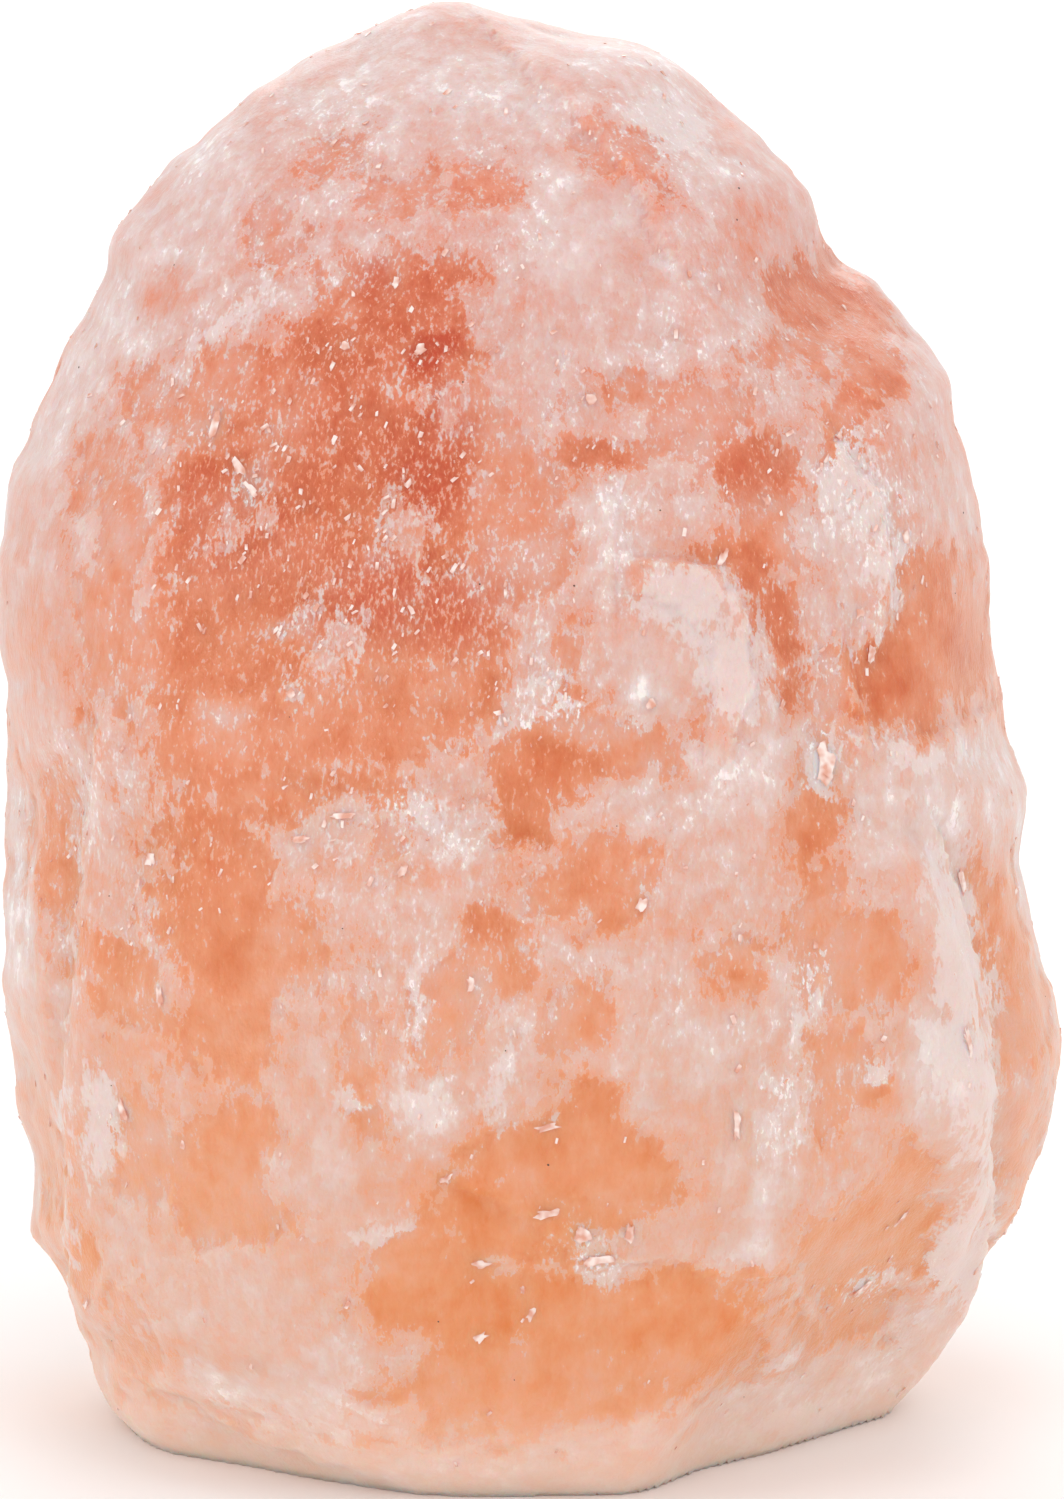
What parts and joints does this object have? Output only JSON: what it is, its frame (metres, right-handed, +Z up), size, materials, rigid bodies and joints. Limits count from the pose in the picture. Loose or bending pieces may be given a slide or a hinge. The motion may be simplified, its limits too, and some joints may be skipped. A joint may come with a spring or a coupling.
{
  "type": "rough-hewn lump of pink rock salt",
  "caption": "Upright hewn lump of translucent pink and orange rock salt with frosted chip scars, sawn flat underneath so that it stands by itself.",
  "frame": {"origin": "middle of the lump's footprint, on the plane of the flat sawn foot", "axes": "+Z up, square to the foot, along the lump's longest dimension; the broad show face looks along -Y, so +X is at a viewer's right"},
  "size_m": [0.134, 0.116, 0.18],
  "materials": {
    "rock_salt": "translucent salmon-pink and orange salt, waxy in the clear patches and frosted white-pink where it is chipped"
  },
  "bodies": {
    "root": {"rock_salt_lump": "rock_salt"}
  },
  "joints": []
}
